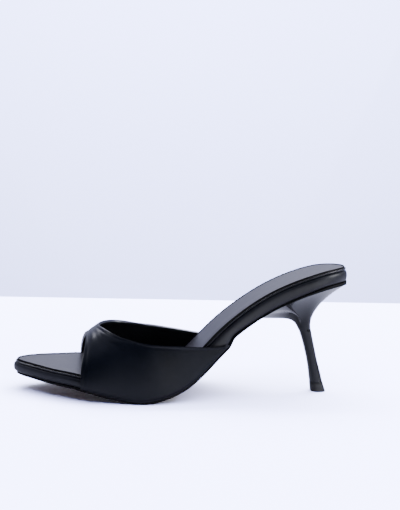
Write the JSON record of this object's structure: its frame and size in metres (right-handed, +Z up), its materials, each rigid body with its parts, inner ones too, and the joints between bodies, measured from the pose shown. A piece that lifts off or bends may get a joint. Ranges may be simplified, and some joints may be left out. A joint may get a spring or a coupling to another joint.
{
  "type": "heeled mule",
  "caption": "Left open-toe slip-on mule with a single wide vamp band, wrapped sole edge and slim high heel.",
  "frame": {"origin": "centre of the shoe's box in plan, on the floor that it stands on", "axes": "+X from the toe to the heel, +Y towards the inner side of the foot, +Z up"},
  "size_m": [0.2322, 0.079, 0.0894],
  "materials": {
    "outsole": "thin moulded sole, satin black at its edge",
    "rand": "satin black faux leather wrapped round the platform",
    "insole": "satin black faux leather",
    "insole_sock": "smooth padded faux leather",
    "upper": "smooth satin black faux leather with a folded edge",
    "heel": "glossy black lacquer",
    "heel_tip": "matt black"
  },
  "bodies": {
    "root": {"outsole": "outsole", "rand": "rand", "insole": "insole", "insole_sock": "insole_sock", "upper": "upper", "heel": "heel", "heel_tip": "heel_tip"}
  },
  "joints": []
}
